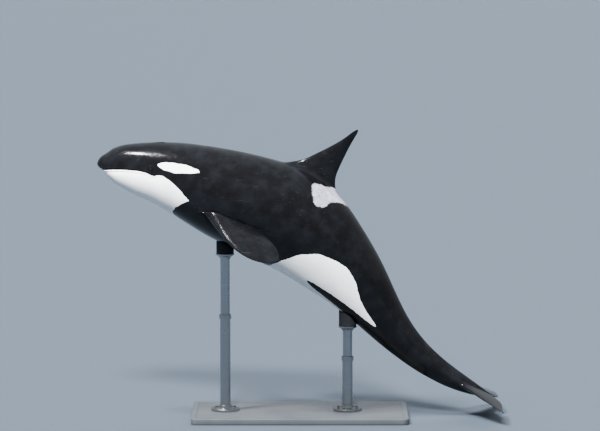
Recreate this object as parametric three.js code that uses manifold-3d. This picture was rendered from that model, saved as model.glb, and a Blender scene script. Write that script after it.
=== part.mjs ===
// A life-size orca in mid leap, held by a plain display stand.
// Millimetres, +Z up. The snout points to -X, the tail to +X, and the left side faces -Y.
// The origin is the centre of the stand's underside, on the floor.
import * as THREE from "three";
import { mergeVertices } from "three/addons/utils/BufferGeometryUtils.js";
import Module from "manifold-3d";

const wasm = await Module();
wasm.setup();

// Whole animal
const BODY_LENGTH = 6400;
const GAP = 0.3;
const SNOUT_AHEAD = 2714;
const SNOUT_HEIGHT = 3415;

// How far the spine line pitches down at a share of the body length from the snout, in degrees
const BEND = [
  [0, 8],
  [0.05, 8],
  [0.1, 10],
  [0.19, 16],
  [0.29, 19],
  [0.365, 23],
  [0.433, 31],
  [0.5, 40],
  [0.578, 48],
  [0.645, 53],
  [0.71, 54],
  [0.79, 46],
  [0.87, 35],
  [0.94, 26],
  [1, 21],
];

// Body sections, every size a share of the body length:
// station, rise above the spine line, drop below it, half width, level of the widest point,
// roundness of the upper half, roundness of the lower half (2 is an ellipse, less is keeled)
const SECTIONS = [
  [0, 0.027, 0.009, 0.025, -0.001, 2.3, 2.3],
  [0.015, 0.028, 0.0145, 0.0305, -0.001, 2.3, 2.3],
  [0.03, 0.0375, 0.0262, 0.0375, -0.002, 2.25, 2.3],
  [0.045, 0.0452, 0.0362, 0.0445, -0.003, 2.2, 2.3],
  [0.065, 0.0515, 0.0445, 0.0515, -0.004, 2.15, 2.25],
  [0.09, 0.0578, 0.0535, 0.0588, -0.005, 2.1, 2.2],
  [0.12, 0.0642, 0.0603, 0.066, -0.006, 2.08, 2.15],
  [0.16, 0.0733, 0.0705, 0.0745, -0.007, 2.05, 2.12],
  [0.21, 0.0815, 0.084, 0.083, -0.008, 2.02, 2.1],
  [0.27, 0.0902, 0.098, 0.09, -0.01, 2, 2.08],
  [0.34, 0.0988, 0.1055, 0.0948, -0.01, 2, 2.05],
  [0.41, 0.1055, 0.1085, 0.0945, -0.009, 1.98, 2.03],
  [0.48, 0.096, 0.1035, 0.0885, -0.006, 1.95, 2],
  [0.55, 0.0768, 0.0938, 0.0775, -0.004, 1.9, 1.95],
  [0.62, 0.0602, 0.0772, 0.0622, -0.003, 1.85, 1.88],
  [0.7, 0.0428, 0.057, 0.044, -0.002, 1.75, 1.75],
  [0.78, 0.0312, 0.0395, 0.0295, -0.001, 1.62, 1.62],
  [0.86, 0.0245, 0.0272, 0.0195, 0, 1.55, 1.55],
  [0.92, 0.019, 0.0195, 0.0148, 0, 1.6, 1.6],
  [0.96, 0.0122, 0.0122, 0.0108, 0, 1.8, 1.8],
  [0.985, 0.006, 0.006, 0.0062, 0, 1.9, 1.9],
  [1, 0.0014, 0.0014, 0.0018, 0, 2, 2],
];
const NOSE_ROUND = 0.03;
const HEAD_RINGS = 24;
const BODY_RINGS = 56;
const RING_POINTS = 40;

// Where the body is parted, as shares of its length
const NECK_CUT = 0.182;
const CHEST_CUT = 0.352;
const MIDBODY_CUT = 0.53;
const LOIN_CUT = 0.72;

// Mouth line on either side: station, height above the spine line in millimetres
const MOUTH = [
  [-0.012, -66],
  [0.009, -55],
  [0.03, -27],
  [0.0555, 2],
  [0.082, 20],
  [0.098, 24.5],
  [0.109, 18],
  [0.119, -5],
];
const JAW_BACK = [
  [0.13, -130],
  [0.145, -260],
  [0.156, -520],
];
const LIP_GAP = 13;
const LIP_DEPTH = 20;

// Eyes and their lids
const EYE = { station: 0.1125, height: 84, radius: 27, sink: 19 };
const LID = { length: 128, height: 90, thick: 34, rise: 13, slitLength: 56, slitHeight: 26 };

// Blowhole: a crescent slit on a low mound, its tips pointing to the snout
const BLOWHOLE = { station: 0.119, radius: 62, slit: 15, depth: 34, sweep: 150 };
const BLOW_MOUND = { length: 330, width: 240, thick: 62, rise: 10 };

// Fins are lofts of streamlined sections. A row of the dorsal fin or a fluke holds the distance out,
// the front edge, the rear edge and half the thickness.
const DORSAL_FIN = {
  station: 0.45,
  lean: -4.3,
  rows: [
    [520, -640, 190, 120],
    [640, -612, 172, 104],
    [700, -540, 132, 84],
    [760, -455, 95, 68],
    [850, -374, 72, 56],
    [960, -300, 60, 47],
    [1080, -214, 53, 39],
    [1200, -136, 46, 31],
    [1310, -72, 44, 23],
    [1400, -33, 48, 16],
    [1455, -8, 50, 10],
    [1484, 10, 47, 6],
    [1498, 23, 39, 4],
  ],
};

// A flipper follows a bent middle line, so a row also holds where that line heads:
// 90 is straight out of the body, 0 is straight back along it.
const FLIPPER = {
  station: 0.28,
  around: 110.5,
  splay: 53,
  flare: 11,
  rows: [
    [-210, 45, -150, 150, 96],
    [-90, 43, -160, 160, 92],
    [0, 40, -166, 170, 84],
    [80, 37, -168, 178, 70],
    [180, 33, -180, 198, 58],
    [310, 28, -206, 228, 48],
    [460, 23, -234, 252, 41],
    [620, 20, -250, 262, 34],
    [760, 18, -242, 246, 27],
    [880, 17, -208, 206, 21],
    [970, 17, -154, 150, 15],
    [1030, 17, -96, 92, 10],
    [1062, 17, -42, 42, 5],
  ],
};
const FLUKE = {
  pitch: 22,
  droop: 40,
  rows: [
    [10, -590, 2, 76],
    [45, -545, 30, 62],
    [90, -500, 58, 48],
    [150, -452, 82, 39],
    [230, -396, 98, 34],
    [340, -322, 108, 29],
    [460, -243, 108, 24],
    [590, -156, 103, 18],
    [700, -76, 101, 13],
    [785, -4, 107, 9],
    [840, 52, 119, 6],
    [868, 90, 127, 4],
  ],
};
const FIN_POINTS = 22;

// Stand
const BASE = { length: 2900, width: 1500, thick: 80, corner: 90, bevel: 12 };
const ROD_RADIUS = 70;
const FOOT = { radius: 190, thick: 35 };
const PAD = { radius: 120, below: 130 };
const ROD_X = { front: -1005, rear: 640 };
const ROUND_SIDES = 32;

const SKIN_BLACK = new THREE.MeshStandardMaterial({ color: 0x17181b, roughness: 0.28, metalness: 0 });
const SKIN_WHITE = new THREE.MeshStandardMaterial({ color: 0xe9eaea, roughness: 0.32, metalness: 0 });
const EYE_DARK = new THREE.MeshStandardMaterial({ color: 0x1a1210, roughness: 0.05, metalness: 0 });
const STEEL = new THREE.MeshStandardMaterial({ color: 0x8d9196, roughness: 0.38, metalness: 0.9 });
const BASE_PAINT = new THREE.MeshStandardMaterial({ color: 0x3c4046, roughness: 0.55, metalness: 0.1 });
const PAD_RUBBER = new THREE.MeshStandardMaterial({ color: 0x202124, roughness: 0.8, metalness: 0 });

// Solids and cuts

function solidOf(geometry) {
  const bare = geometry.index ? geometry.toNonIndexed() : geometry.clone();
  bare.deleteAttribute("normal");
  bare.deleteAttribute("uv");
  const merged = mergeVertices(bare, 1e-4);
  return new wasm.Manifold(
    new wasm.Mesh({
      numProp: 3,
      vertProperties: merged.attributes.position.array,
      triVerts: new Uint32Array(merged.index.array),
    }),
  );
}

function geometryOf(solid) {
  const mesh = solid.getMesh();
  const stride = mesh.numProp;
  const position = new Float32Array(mesh.numVert * 3);
  for (let i = 0; i < mesh.numVert; i++) {
    position.set(mesh.vertProperties.subarray(i * stride, i * stride + 3), i * 3);
  }
  const geometry = new THREE.BufferGeometry();
  geometry.setAttribute("position", new THREE.BufferAttribute(position, 3));
  geometry.setIndex(new THREE.BufferAttribute(mesh.triVerts, 1));
  return geometry;
}

function largestOf(solid) {
  const pieces = solid.decompose();
  return pieces.reduce((best, piece) => (piece.volume() > best.volume() ? piece : best));
}

// A closed skin over rings of points, with a fan from a point at each end.
// Its two halves are split into triangles alike, so that a mirrored piece fits the other side.
function loft(rings, firstPole, lastPole) {
  const count = rings[0].length;
  const points = [firstPole, ...rings.flat(), lastPole];
  const last = points.length - 1;
  const index = [];
  for (let k = 0; k < count; k++) {
    const next = (k + 1) % count;
    index.push(0, 1 + next, 1 + k);
    for (let r = 0; r + 1 < rings.length; r++) {
      const a = 1 + r * count + k;
      const b = 1 + r * count + next;
      if (k < count / 2) index.push(a, b, a + count, b, b + count, a + count);
      else index.push(a, b, b + count, a, b + count, a + count);
    }
    const end = 1 + (rings.length - 1) * count;
    index.push(last, end + k, end + next);
  }
  const geometry = new THREE.BufferGeometry();
  geometry.setAttribute(
    "position",
    new THREE.BufferAttribute(new Float32Array(points.flatMap((p) => [p.x, p.y, p.z])), 3),
  );
  geometry.setIndex(index);
  const made = solidOf(geometry);
  if (made.volume() > 0) return made;
  for (let i = 0; i < index.length; i += 3) [index[i + 1], index[i + 2]] = [index[i + 2], index[i + 1]];
  geometry.setIndex(index);
  return solidOf(geometry);
}

function curveThrough(table) {
  const size = table[0].length - 1;
  const keys = new Float32Array(table.map((row) => row[0]));
  const values = new Float32Array(table.flatMap((row) => row.slice(1)));
  const curve = new THREE.CubicInterpolant(keys, values, size);
  return (t) => Array.from(curve.evaluate(t));
}

// Spine line

const SPINE_STEPS = 800;
const pitchAt = curveThrough(BEND);
const spineX = [-SNOUT_AHEAD];
const spineZ = [SNOUT_HEIGHT];
for (let i = 0; i < SPINE_STEPS; i++) {
  const pitch = THREE.MathUtils.degToRad(pitchAt((i + 0.5) / SPINE_STEPS)[0]);
  spineX.push(spineX[i] + (Math.cos(pitch) * BODY_LENGTH) / SPINE_STEPS);
  spineZ.push(spineZ[i] - (Math.sin(pitch) * BODY_LENGTH) / SPINE_STEPS);
}

// The spine point at a station, with the directions to the tail and to the back there
function spineAt(station) {
  const inside = THREE.MathUtils.clamp(station, 0, 1);
  const step = Math.min(Math.floor(inside * SPINE_STEPS), SPINE_STEPS - 1);
  const part = inside * SPINE_STEPS - step;
  const pitch = THREE.MathUtils.degToRad(pitchAt(inside)[0]);
  const tail = new THREE.Vector3(Math.cos(pitch), 0, -Math.sin(pitch));
  const up = new THREE.Vector3(Math.sin(pitch), 0, Math.cos(pitch));
  const point = new THREE.Vector3(
    THREE.MathUtils.lerp(spineX[step], spineX[step + 1], part),
    0,
    THREE.MathUtils.lerp(spineZ[step], spineZ[step + 1], part),
  );
  point.addScaledVector(tail, (station - inside) * BODY_LENGTH);
  return { point, tail, up };
}

function beside(station, height) {
  const { point, up } = spineAt(station);
  return point.addScaledVector(up, height);
}

// Body skin

const sectionAt = curveThrough(SECTIONS);

// A point of the body's skin, moved out by grow; around is in degrees from the back, over the left side
function skinPoint(station, around, grow = 0) {
  const [rise, drop, half, level, upper, lower] = sectionAt(station);
  const start = -grow / BODY_LENGTH;
  const nose = THREE.MathUtils.clamp((station - start) / (NOSE_ROUND - start), 0, 1);
  const taper = Math.sqrt(1 - (1 - nose) ** 2);
  const angle = THREE.MathUtils.degToRad(around);
  const roundness = Math.cos(angle) >= 0 ? upper : lower;
  const reach = Math.cos(angle) >= 0 ? rise - level : drop + level;
  const across = Math.sign(Math.sin(angle)) * Math.abs(Math.sin(angle)) ** (2 / roundness);
  const along = Math.sign(Math.cos(angle)) * Math.abs(Math.cos(angle)) ** (2 / roundness);
  const { point, up } = spineAt(station);
  point.y -= across * Math.max(half * taper * BODY_LENGTH + grow, 1);
  const middle = level * taper * BODY_LENGTH;
  return point.addScaledVector(up, middle + along * Math.max(reach * taper * BODY_LENGTH + grow, 1));
}

function bodySolid(grow = 0) {
  const start = -grow / BODY_LENGTH;
  const stations = [];
  for (let i = 1; i <= HEAD_RINGS; i++) {
    const share = 1 - Math.cos((i / HEAD_RINGS) * Math.PI * 0.42);
    stations.push(start + (share / (1 - Math.cos(Math.PI * 0.42))) * (NECK_CUT - start));
  }
  for (let i = 1; i <= BODY_RINGS; i++) {
    stations.push(NECK_CUT + (i / BODY_RINGS) * (1 - NECK_CUT));
  }
  const rings = stations.map((station) =>
    Array.from({ length: RING_POINTS }, (_, k) => skinPoint(station, (k / RING_POINTS) * 360, grow)),
  );
  const tailEnd = spineAt(1);
  return loft(rings, spineAt(start).point, tailEnd.point.addScaledVector(tailEnd.tail, Math.max(grow, 0)));
}

// A box that holds everything tailwards of a station
function tailwardOf(station) {
  const { point, tail, up } = spineAt(station);
  const size = BODY_LENGTH;
  const box = new THREE.BoxGeometry(size, size, size);
  const basis = new THREE.Matrix4().makeBasis(tail, new THREE.Vector3(0, 1, 0), up);
  basis.setPosition(point.addScaledVector(tail, size / 2));
  return solidOf(box.applyMatrix4(basis));
}

// The stretch of a solid between two stations, short of each cut by half the gap
function stretchOf(solid, from, to) {
  const half = GAP / 2 / BODY_LENGTH;
  let piece = solid;
  if (from !== null) piece = piece.intersect(tailwardOf(from + half));
  if (to !== null) piece = piece.subtract(tailwardOf(to - half));
  return largestOf(piece);
}

// A prism across the whole body from a side outline of [x, z] points
function prismAcross(outline, halfWidth = BODY_LENGTH / 8) {
  const shape = new THREE.Shape(outline.map((p) => new THREE.Vector2(p.x, p.z)));
  const prism = new THREE.ExtrudeGeometry(shape, { depth: 2 * halfWidth, bevelEnabled: false });
  prism.rotateX(Math.PI / 2);
  prism.translate(0, halfWidth, 0);
  return solidOf(prism);
}

// Mouth

// The mouth line, moved up by shift, which can narrow to nothing at the corner of the mouth
function mouthPoints(shift = 0, narrowing = false) {
  const line = curveThrough(MOUTH);
  const steps = 18;
  const from = MOUTH[0][0];
  const to = MOUTH[MOUTH.length - 1][0];
  return Array.from({ length: steps + 1 }, (_, i) => {
    const share = i / steps;
    const station = THREE.MathUtils.lerp(from, to, share);
    return beside(station, line(station)[0] + (narrowing ? shift * (1 - share ** 10) : shift));
  });
}

// Everything below the mouth line and ahead of the throat
function jawRegion(back) {
  const rear = JAW_BACK.map(([station, height]) => beside(station - back / BODY_LENGTH, height));
  const front = beside(MOUTH[0][0], JAW_BACK[JAW_BACK.length - 1][1]);
  return prismAcross([...mouthPoints(-back), ...rear, front]);
}

function lipGroove(body, core) {
  const above = mouthPoints(LIP_GAP / 2, true);
  const below = mouthPoints(-LIP_GAP / 2, true).reverse();
  return prismAcross([...above, ...below.slice(1)]).intersect(body.subtract(core));
}

// Places a geometry modelled with +Z outwards and +X tailwards on the skin, sunk by a depth
function onSkin(geometry, station, around, sink) {
  const step = 0.002;
  const point = skinPoint(station, around);
  const tail = skinPoint(station + step, around).sub(skinPoint(station - step, around)).normalize();
  const round = skinPoint(station, around + 1).sub(skinPoint(station, around - 1)).normalize();
  const out = new THREE.Vector3().crossVectors(round, tail).normalize();
  if (out.dot(point.clone().sub(spineAt(station).point)) < 0) out.negate();
  const side = new THREE.Vector3().crossVectors(out, tail);
  const basis = new THREE.Matrix4().makeBasis(tail, side, out);
  basis.setPosition(point.addScaledVector(out, -sink));
  return geometry.clone().applyMatrix4(basis);
}

// The angle round the body at which the skin is at a height above the spine line
function aroundAt(station, height) {
  let low = 0;
  let high = 180;
  const { point, up } = spineAt(station);
  for (let i = 0; i < 30; i++) {
    const middle = (low + high) / 2;
    const found = skinPoint(station, middle).sub(point).dot(up);
    if (found > height) low = middle;
    else high = middle;
  }
  return (low + high) / 2;
}

function mirrored(geometry) {
  const copy = mergeVertices(geometry.clone().applyMatrix4(new THREE.Matrix4().makeScale(1, -1, 1)));
  const index = copy.index.array;
  for (let i = 0; i < index.length; i += 3) [index[i + 1], index[i + 2]] = [index[i + 2], index[i + 1]];
  return copy;
}

// Left eye: the ball, the room that the head leaves for it, the mound of its lids and the slit between them
function eyePieces() {
  const around = aroundAt(EYE.station, EYE.height);
  const ball = new THREE.SphereGeometry(EYE.radius, 18, 12);
  const room = new THREE.SphereGeometry(EYE.radius + GAP, 18, 12);
  const mound = new THREE.SphereGeometry(1, 20, 10).scale(LID.length / 2, LID.height / 2, LID.thick);
  const slitShape = new THREE.Shape();
  slitShape.moveTo(-LID.slitLength / 2, 0);
  slitShape.quadraticCurveTo(0, LID.slitHeight, LID.slitLength / 2, 0);
  slitShape.quadraticCurveTo(0, -LID.slitHeight, -LID.slitLength / 2, 0);
  const slit = new THREE.ExtrudeGeometry(slitShape, {
    depth: LID.rise * 2,
    bevelEnabled: false,
    curveSegments: 8,
  });
  return {
    ball: onSkin(ball, EYE.station, around, EYE.sink),
    room: onSkin(room, EYE.station, around, EYE.sink),
    mound: onSkin(mound, EYE.station, around, LID.thick - LID.rise),
    slit: onSkin(slit, EYE.station, around, 0),
  };
}

function blowholeSlit() {
  const sweep = THREE.MathUtils.degToRad(BLOWHOLE.sweep);
  const shape = new THREE.Shape();
  shape.absarc(0, 0, BLOWHOLE.radius, -sweep / 2, sweep / 2, false);
  shape.absarc(0, 0, BLOWHOLE.radius - BLOWHOLE.slit, sweep / 2, -sweep / 2, true);
  shape.closePath();
  const slit = new THREE.ExtrudeGeometry(shape, {
    depth: BLOWHOLE.depth * 2,
    bevelEnabled: false,
    curveSegments: 10,
  });
  return onSkin(slit, BLOWHOLE.station, 0, BLOWHOLE.depth);
}

function headPieces(body) {
  const left = eyePieces();
  const both = (name) => solidOf(left[name]).add(solidOf(mirrored(left[name])));
  const crown = new THREE.SphereGeometry(1, 24, 12).scale(
    BLOW_MOUND.length / 2,
    BLOW_MOUND.width / 2,
    BLOW_MOUND.thick,
  );
  const crownSink = BLOW_MOUND.thick - BLOW_MOUND.rise;
  const whole = stretchOf(body, null, NECK_CUT)
    .add(both("mound"))
    .add(solidOf(onSkin(crown, BLOWHOLE.station, 0, crownSink)))
    .subtract(both("room"))
    .subtract(both("slit"))
    .subtract(solidOf(blowholeSlit()))
    .subtract(lipGroove(bodySolid(2 * GAP), bodySolid(-LIP_DEPTH)));
  return {
    head: largestOf(whole.subtract(jawRegion(0))),
    jaw: largestOf(whole.intersect(jawRegion(GAP))),
    eyeLeft: left.ball,
    eyeRight: mirrored(left.ball),
  };
}

// Fins

// One streamlined ring: front and rear edge along the chord, half thickness across it
function finRing(origin, chord, normal, front, rear, half) {
  return Array.from({ length: FIN_POINTS }, (_, k) => {
    const angle = (k / FIN_POINTS) * 2 * Math.PI;
    const share = (1 - Math.cos(angle)) / 2;
    const fullness = 2.05 * Math.sqrt(share) * (1 - share) + 0.42 * Math.sqrt(share * (1 - share));
    return origin
      .clone()
      .addScaledVector(chord, THREE.MathUtils.lerp(front, rear, share))
      .addScaledVector(normal, Math.sign(Math.sin(angle)) * half * fullness);
  });
}

function middleOf(ring) {
  const sum = ring.reduce((total, point) => total.add(point), new THREE.Vector3());
  return sum.divideScalar(ring.length);
}

// A fin from its rows; place gives the ring's origin at a distance along the span
function finSolid(rows, place, chord, normal) {
  const rings = rows.map(([distance, front, rear, half]) =>
    finRing(place(distance), chord, normal, front, rear, half),
  );
  const pole = ([distance, front, rear], step) =>
    place(distance + step).addScaledVector(chord, (front + rear) / 2);
  const last = rows[rows.length - 1];
  return loft(rings, pole(rows[0], 0), pole(last, last[3]));
}

function dorsalFin() {
  const { point, tail, up } = spineAt(DORSAL_FIN.station);
  const side = new THREE.Vector3(0, 1, 0);
  const lean = THREE.MathUtils.degToRad(DORSAL_FIN.lean);
  const chord = tail.clone().applyAxisAngle(side, lean);
  const span = up.clone().applyAxisAngle(side, lean);
  return finSolid(DORSAL_FIN.rows, (d) => point.clone().addScaledVector(span, d), chord, side);
}

function leftFlipper() {
  const radians = THREE.MathUtils.degToRad;
  const { tail, up } = spineAt(FLIPPER.station);
  const out = new THREE.Vector3(0, -1, 0);
  const back = tail.multiplyScalar(Math.cos(radians(FLIPPER.flare)));
  back.addScaledVector(out, Math.sin(radians(FLIPPER.flare)));
  const away = up.multiplyScalar(-Math.cos(radians(FLIPPER.splay)));
  away.addScaledVector(out, Math.sin(radians(FLIPPER.splay)));
  away.addScaledVector(back, -away.dot(back)).normalize();
  const normal = new THREE.Vector3().crossVectors(back, away);
  const heading = (degrees) =>
    back.clone().multiplyScalar(Math.cos(radians(degrees))).addScaledVector(away, Math.sin(radians(degrees)));

  const [start, firstHeading] = FLIPPER.rows[0];
  const middle = skinPoint(FLIPPER.station, FLIPPER.around).addScaledVector(heading(firstHeading), start);
  const rings = [];
  let last = FLIPPER.rows[0];
  for (const row of FLIPPER.rows) {
    const [distance, degrees, front, rear, half] = row;
    middle.addScaledVector(heading((degrees + last[1]) / 2), distance - last[0]);
    rings.push(finRing(middle, heading(degrees - 90), normal, front, rear, half));
    last = row;
  }
  const rootPole = middleOf(rings[0]);
  const tipPole = middleOf(rings[rings.length - 1]).addScaledVector(heading(last[1]), last[4]);
  return loft(rings, rootPole, tipPole);
}

function leftFluke() {
  const end = spineAt(1).point;
  const pitch = THREE.MathUtils.degToRad(FLUKE.pitch);
  const chord = new THREE.Vector3(Math.cos(pitch), 0, -Math.sin(pitch));
  const up = new THREE.Vector3(Math.sin(pitch), 0, Math.cos(pitch));
  const reach = FLUKE.rows[FLUKE.rows.length - 1][0];
  const place = (distance) => {
    const droop = -FLUKE.droop * (distance / reach) ** 2;
    return end.clone().addScaledVector(up, droop).add(new THREE.Vector3(0, -distance, 0));
  };
  return finSolid(FLUKE.rows, place, chord, up);
}

// Stand

function lowestSkinAt(x) {
  let low = 0;
  let high = 1;
  for (let i = 0; i < 40; i++) {
    const middle = (low + high) / 2;
    if (skinPoint(middle, 180).x < x) low = middle;
    else high = middle;
  }
  return skinPoint((low + high) / 2, 180).z;
}

function upright(radius, bottom, top, x) {
  const post = new THREE.CylinderGeometry(radius, radius, top - bottom, ROUND_SIDES);
  post.rotateX(Math.PI / 2);
  post.translate(x, 0, (top + bottom) / 2);
  return post;
}

function basePlate() {
  const { length, width, thick, corner, bevel } = BASE;
  const x = length / 2 - bevel;
  const y = width / 2 - bevel;
  const shape = new THREE.Shape();
  shape.moveTo(-x + corner, -y);
  shape.lineTo(x - corner, -y);
  shape.absarc(x - corner, -y + corner, corner, -Math.PI / 2, 0, false);
  shape.lineTo(x, y - corner);
  shape.absarc(x - corner, y - corner, corner, 0, Math.PI / 2, false);
  shape.lineTo(-x + corner, y);
  shape.absarc(-x + corner, y - corner, corner, Math.PI / 2, Math.PI, false);
  shape.lineTo(-x, -y + corner);
  shape.absarc(-x + corner, -y + corner, corner, Math.PI, Math.PI * 1.5, false);
  const plate = new THREE.ExtrudeGeometry(shape, {
    depth: thick - 2 * bevel,
    bevelThickness: bevel,
    bevelSize: bevel,
    bevelSegments: 2,
    curveSegments: 6,
  });
  plate.translate(0, 0, bevel);
  return plate;
}

// A foot on the base, a rod on the foot and a pad between the rod and the belly
function standLeg(x, grown) {
  const belly = lowestSkinAt(x);
  const footTop = BASE.thick + GAP + FOOT.thick;
  const padBottom = belly - PAD.below;
  const pad = solidOf(upright(PAD.radius, padBottom, belly + PAD.radius * 2, x)).subtract(grown);
  const lowest = pad.decompose().reduce((a, b) => (a.boundingBox().min[2] < b.boundingBox().min[2] ? a : b));
  return {
    foot: upright(FOOT.radius, BASE.thick + GAP, footTop, x),
    rod: upright(ROD_RADIUS, footTop + GAP, padBottom - GAP, x),
    pad: geometryOf(lowest),
  };
}

// The whole model

const model = new THREE.Group();

function addNode(name, geometry, material) {
  const mesh = new THREE.Mesh(geometry, material);
  mesh.name = name;
  model.add(mesh);
}

const body = bodySolid();
const grown = bodySolid(GAP);

const headParts = headPieces(body);
addNode("head", geometryOf(headParts.head), SKIN_BLACK);
addNode("lower_jaw", geometryOf(headParts.jaw), SKIN_WHITE);
addNode("eye_left", headParts.eyeLeft, EYE_DARK);
addNode("eye_right", headParts.eyeRight, EYE_DARK);

addNode("chest", geometryOf(stretchOf(body, NECK_CUT, CHEST_CUT)), SKIN_BLACK);
addNode("midbody", geometryOf(stretchOf(body, CHEST_CUT, MIDBODY_CUT)), SKIN_BLACK);
addNode("loin", geometryOf(stretchOf(body, MIDBODY_CUT, LOIN_CUT)), SKIN_BLACK);
addNode("tail_stock", geometryOf(stretchOf(body, LOIN_CUT, null)), SKIN_BLACK);

addNode("dorsal_fin", geometryOf(largestOf(dorsalFin().subtract(grown))), SKIN_BLACK);
const flipper = geometryOf(largestOf(leftFlipper().subtract(grown)));
addNode("flipper_left", flipper, SKIN_BLACK);
addNode("flipper_right", mirrored(flipper), SKIN_BLACK);
const fluke = geometryOf(largestOf(leftFluke().subtract(grown)));
addNode("fluke_left", fluke, SKIN_BLACK);
addNode("fluke_right", mirrored(fluke), SKIN_BLACK);

addNode("stand_base", basePlate(), BASE_PAINT);
for (const [place, x] of Object.entries(ROD_X)) {
  const leg = standLeg(x, grown);
  addNode(`stand_foot_${place}`, leg.foot, STEEL);
  addNode(`stand_rod_${place}`, leg.rod, STEEL);
  addNode(`stand_pad_${place}`, leg.pad, PAD_RUBBER);
}

export default model;
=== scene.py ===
import math

import bmesh
import bpy
import numpy as np
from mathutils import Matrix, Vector
from mathutils.bvhtree import BVHTree


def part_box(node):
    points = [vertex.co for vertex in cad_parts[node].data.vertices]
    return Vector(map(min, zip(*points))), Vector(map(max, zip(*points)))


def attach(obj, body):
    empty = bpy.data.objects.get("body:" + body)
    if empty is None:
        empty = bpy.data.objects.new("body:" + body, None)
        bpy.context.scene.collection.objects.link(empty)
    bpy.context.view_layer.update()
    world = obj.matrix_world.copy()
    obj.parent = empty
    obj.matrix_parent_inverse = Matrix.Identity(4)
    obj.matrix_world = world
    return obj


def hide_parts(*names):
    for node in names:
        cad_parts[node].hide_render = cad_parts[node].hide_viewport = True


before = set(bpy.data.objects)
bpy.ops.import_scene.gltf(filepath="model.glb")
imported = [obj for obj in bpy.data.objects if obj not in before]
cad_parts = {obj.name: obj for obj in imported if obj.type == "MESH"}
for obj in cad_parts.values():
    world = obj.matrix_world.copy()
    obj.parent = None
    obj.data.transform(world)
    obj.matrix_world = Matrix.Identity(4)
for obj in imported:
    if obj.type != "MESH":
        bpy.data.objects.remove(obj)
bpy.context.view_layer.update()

# Orca skin: the tight, rubbery hide of a grown female, with all her fins in one seamless piece, as on
# a moulded museum model, which rests on the pads of the stand. It is laid on a spine line that bends
# with the leap, with a rounded section at every station from the snout at 0 to the tail's notch at 1.
BODY_LENGTH = 6.4
SNOUT = (-2.714, 0.0, 3.415)
SPINE_STEPS = 800
NOSE_ROUND = 0.03

# Station, pitch of the spine line downwards in degrees
BEND = (
    (0, 8), (0.05, 8), (0.1, 10), (0.19, 16), (0.29, 19), (0.365, 23), (0.433, 31), (0.5, 40),
    (0.578, 48), (0.645, 53), (0.71, 54), (0.79, 46), (0.87, 35), (0.94, 26), (1, 21),
)

# Station, rise and drop from the spine line, half width, level of the widest point, all as shares
# of the body length, then the roundness of the upper and the lower half
SECTIONS = (
    (0, 0.027, 0.009, 0.025, -0.001, 2.3, 2.3),
    (0.015, 0.028, 0.0145, 0.0305, -0.001, 2.3, 2.3),
    (0.03, 0.0375, 0.0262, 0.0375, -0.002, 2.25, 2.3),
    (0.045, 0.0452, 0.0362, 0.0445, -0.003, 2.2, 2.3),
    (0.065, 0.0515, 0.0445, 0.0515, -0.004, 2.15, 2.25),
    (0.09, 0.0578, 0.0535, 0.0588, -0.005, 2.1, 2.2),
    (0.12, 0.0642, 0.0603, 0.066, -0.006, 2.08, 2.15),
    (0.16, 0.0733, 0.0705, 0.0745, -0.007, 2.05, 2.12),
    (0.21, 0.0815, 0.084, 0.083, -0.008, 2.02, 2.1),
    (0.27, 0.0902, 0.098, 0.09, -0.01, 2, 2.08),
    (0.34, 0.0988, 0.1055, 0.0948, -0.01, 2, 2.05),
    (0.41, 0.1055, 0.1085, 0.0945, -0.009, 1.98, 2.03),
    (0.48, 0.096, 0.1035, 0.0885, -0.006, 1.95, 2),
    (0.55, 0.0768, 0.0938, 0.0775, -0.004, 1.9, 1.95),
    (0.62, 0.0602, 0.0772, 0.0622, -0.003, 1.85, 1.88),
    (0.7, 0.0428, 0.057, 0.044, -0.002, 1.75, 1.75),
    (0.78, 0.0312, 0.0395, 0.0295, -0.001, 1.62, 1.62),
    (0.86, 0.0245, 0.0272, 0.0195, 0, 1.55, 1.55),
    (0.92, 0.019, 0.0195, 0.0148, 0, 1.6, 1.6),
    (0.96, 0.0122, 0.0122, 0.0108, 0, 1.8, 1.8),
    (0.985, 0.006, 0.006, 0.0062, 0, 1.9, 1.9),
    (1, 0.0014, 0.0014, 0.0018, 0, 2, 2),
)


def curve_through(rows):
    """A smooth curve through rows of a key and its values."""
    table = np.array(rows, float)
    keys, values = table[:, 0], table[:, 1:]

    def at(key):
        key = np.clip(np.atleast_1d(np.asarray(key, float)), keys[0], keys[-1])
        after = np.clip(np.searchsorted(keys, key, side="right"), 1, len(keys) - 1)
        start, end = keys[after - 1], keys[after]
        before = np.where(after == 1, after, after - 2)
        beyond = np.where(after == len(keys) - 1, after - 1, np.minimum(after + 1, len(keys) - 1))
        half = (end - start) / 2
        bend_in = half / (start - keys[before])
        bend_out = half / (keys[beyond] - end)
        p = (key - start) / (end - start)
        parts = (
            (before, -bend_in * p**3 + 2 * bend_in * p**2 - bend_in * p),
            (after - 1, (1 + bend_in) * p**3 - (1.5 + 2 * bend_in) * p**2 + (bend_in - 0.5) * p + 1),
            (after, -(1 + bend_out) * p**3 + (1.5 + bend_out) * p**2 + 0.5 * p),
            (beyond, bend_out * p**3 - bend_out * p**2),
        )
        return sum(weight[:, None] * values[row] for row, weight in parts)

    return at


pitch_at = curve_through(BEND)
section_at = curve_through(SECTIONS)
spine_pitch = np.radians(pitch_at((np.arange(SPINE_STEPS) + 0.5) / SPINE_STEPS)[:, 0])
spine_stations = np.linspace(0, 1, SPINE_STEPS + 1)
spine_x = SNOUT[0] + np.concatenate(([0], np.cumsum(np.cos(spine_pitch)))) * BODY_LENGTH / SPINE_STEPS
spine_z = SNOUT[2] - np.concatenate(([0], np.cumsum(np.sin(spine_pitch)))) * BODY_LENGTH / SPINE_STEPS


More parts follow.
